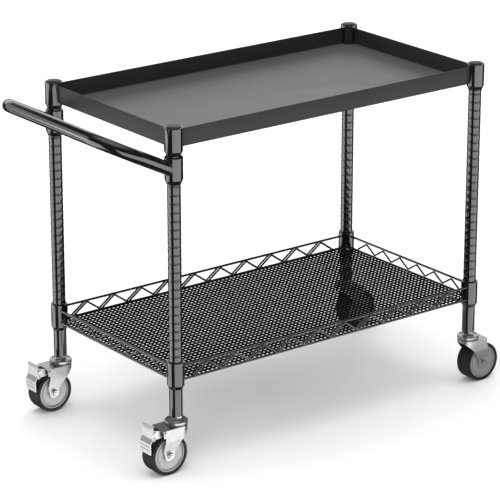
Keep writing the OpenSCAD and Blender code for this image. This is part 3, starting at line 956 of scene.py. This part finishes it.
def area_light(name, at, target, size, power):
    data = bpy.data.lights.new(name, "AREA")
    data.shape = "RECTANGLE"
    data.size, data.size_y = size
    data.energy = power
    light = bpy.data.objects.new(name, data)
    light.location = at
    light.visible_glossy = False
    light.rotation_euler = (Vector(target) - Vector(at)).to_track_quat("-Z", "Y").to_euler()
    bpy.context.scene.collection.objects.link(light)


class Sky:
    """The world's light: reflections see soft boxes in a dark studio, all else an even white."""

    def __init__(self):
        world = bpy.data.worlds.new("studio")
        bpy.context.scene.world = world
        world.use_nodes = True
        self.tree = world.node_tree
        self.tree.nodes.clear()
        direction = self.tree.nodes.new("ShaderNodeTexCoord").outputs["Generated"]
        separate = self.tree.nodes.new("ShaderNodeSeparateXYZ")
        self.tree.links.new(direction, separate.inputs[0])
        self.x, self.y, self.z = separate.outputs
        self.turn = self.math("ARCTAN2", self.y, self.x)

    def math(self, operation, first, second=None, third=None):
        made = self.tree.nodes.new("ShaderNodeMath")
        made.operation = operation
        for socket, value in zip(made.inputs, (first, second, third)):
            if value is None:
                continue
            if isinstance(value, (int, float)):
                socket.default_value = value
            else:
                self.tree.links.new(value, socket)
        return made.outputs[0]

    def rise(self, value, start, end):
        """0 below start and 1 above end, with a smooth step between."""
        made = self.tree.nodes.new("ShaderNodeMapRange")
        made.interpolation_type = "SMOOTHSTEP"
        made.inputs["From Min"].default_value = start
        made.inputs["From Max"].default_value = end
        self.tree.links.new(value, made.inputs["Value"])
        return made.outputs["Result"]

    def between(self, value, low, high, soft):
        """1 between low and high, fading to 0 over the soft width at each end."""
        down = self.math("SUBTRACT", 1, self.rise(value, high - soft / 2, high + soft / 2))
        return self.math("MULTIPLY", self.rise(value, low - soft / 2, low + soft / 2), down)

    def softbox(self, bearing, half_width, low, high, power, soft=0.12, soft_z=0.12):
        """A bright patch. Its bearing is in degrees anticlockwise from +X, and its heights are sines."""
        wide = math.radians(half_width)
        off = self.math("SUBTRACT", self.turn, math.radians(bearing))
        wrapped = self.math("ABSOLUTE", self.math("WRAP", off, math.pi, -math.pi))
        patch = self.math("SUBTRACT", 1, self.rise(wrapped, wide - soft / 2, wide + soft / 2))
        patch = self.math("MULTIPLY", patch, self.between(self.z, low, high, soft_z))
        return self.math("MULTIPLY", patch, power)

    def finish(self, glows, ambient):
        total = glows[0]
        for glow in glows[1:]:
            total = self.math("ADD", total, glow)
        path = self.tree.nodes.new("ShaderNodeLightPath")
        shiny = self.tree.nodes.new("ShaderNodeBackground")
        plain = self.tree.nodes.new("ShaderNodeBackground")
        self.tree.links.new(total, shiny.inputs["Strength"])
        plain.inputs["Strength"].default_value = ambient
        mix = self.tree.nodes.new("ShaderNodeMixShader")
        self.tree.links.new(path.outputs["Is Glossy Ray"], mix.inputs[0])
        self.tree.links.new(plain.outputs[0], mix.inputs[1])
        self.tree.links.new(shiny.outputs[0], mix.inputs[2])
        self.tree.links.new(mix.outputs[0], self.tree.nodes.new("ShaderNodeOutputWorld").inputs[0])


# The camera's own bearing from the cart; the soft boxes are placed to its left and right
CAMERA_BEARING = -90 + math.degrees(CAMERA_AZIMUTH)


def light_studio():
    sky = Sky()
    glows = [
        # Left of the camera: one bright box, and two dim ones beyond it
        sky.softbox(CAMERA_BEARING - 81.5, 26.5, BOX_LOW, BOX_HIGH, 2.2),
        sky.softbox(CAMERA_BEARING - 113, 16, -0.29, 0.46, 0.85, soft_z=0.05),
        sky.softbox(CAMERA_BEARING - 116, 13, -0.75, -0.37, 0.9, soft_z=0.05),
        # Right of the camera
        sky.softbox(CAMERA_BEARING + 43, 55, BOX_LOW, BOX_HIGH, 2.1),
        # Behind the cart, seen in the tray's floor
        sky.softbox(CAMERA_BEARING + 180, 45, BOX_HIGH, 0.52, 1.2, soft=0.3),
        # Overhead, and a dim studio all round
        sky.softbox(0, ALL_ROUND, 0.85, 1.3, 1.0, soft_z=0.3),
        sky.softbox(0, ALL_ROUND, -1.3, 1.3, STUDIO_DARK),
    ]
    sky.finish(glows, EVEN_LIGHT)
    area_light("top_light", (MID_X, 0, 3.2), (MID_X, 0, 0), (3.4, 3.0), 75)
    area_light("front_left_light", (-1.9, -1.7, 1.3), (0, 0, 0.4), (0.9, 0.9), 18)
    area_light("backdrop_light", (2.1, 2.8, 1.6), (2.1, 2.8, 0), (3, 3), 28)


make_posts()
make_caps()
make_collars("corner_collars", "tray_collars", CORNERS, COLLAR_R, TRAY_CONE)
make_collars("arm_collars", "handle_collars", BRAKED, COLLAR_R, TRAY_CONE)
make_collars("deck_collars", "shelf_collars", CORNERS, SHELF_COLLAR_R, SHELF_CONE)
make_tray()
make_handle()
make_trusses()
make_deck()
make_casters()
finish_cad_nodes()
make_camera()
make_floor()
make_dark_card()
light_studio()
bpy.context.scene.view_settings.view_transform = "Standard"
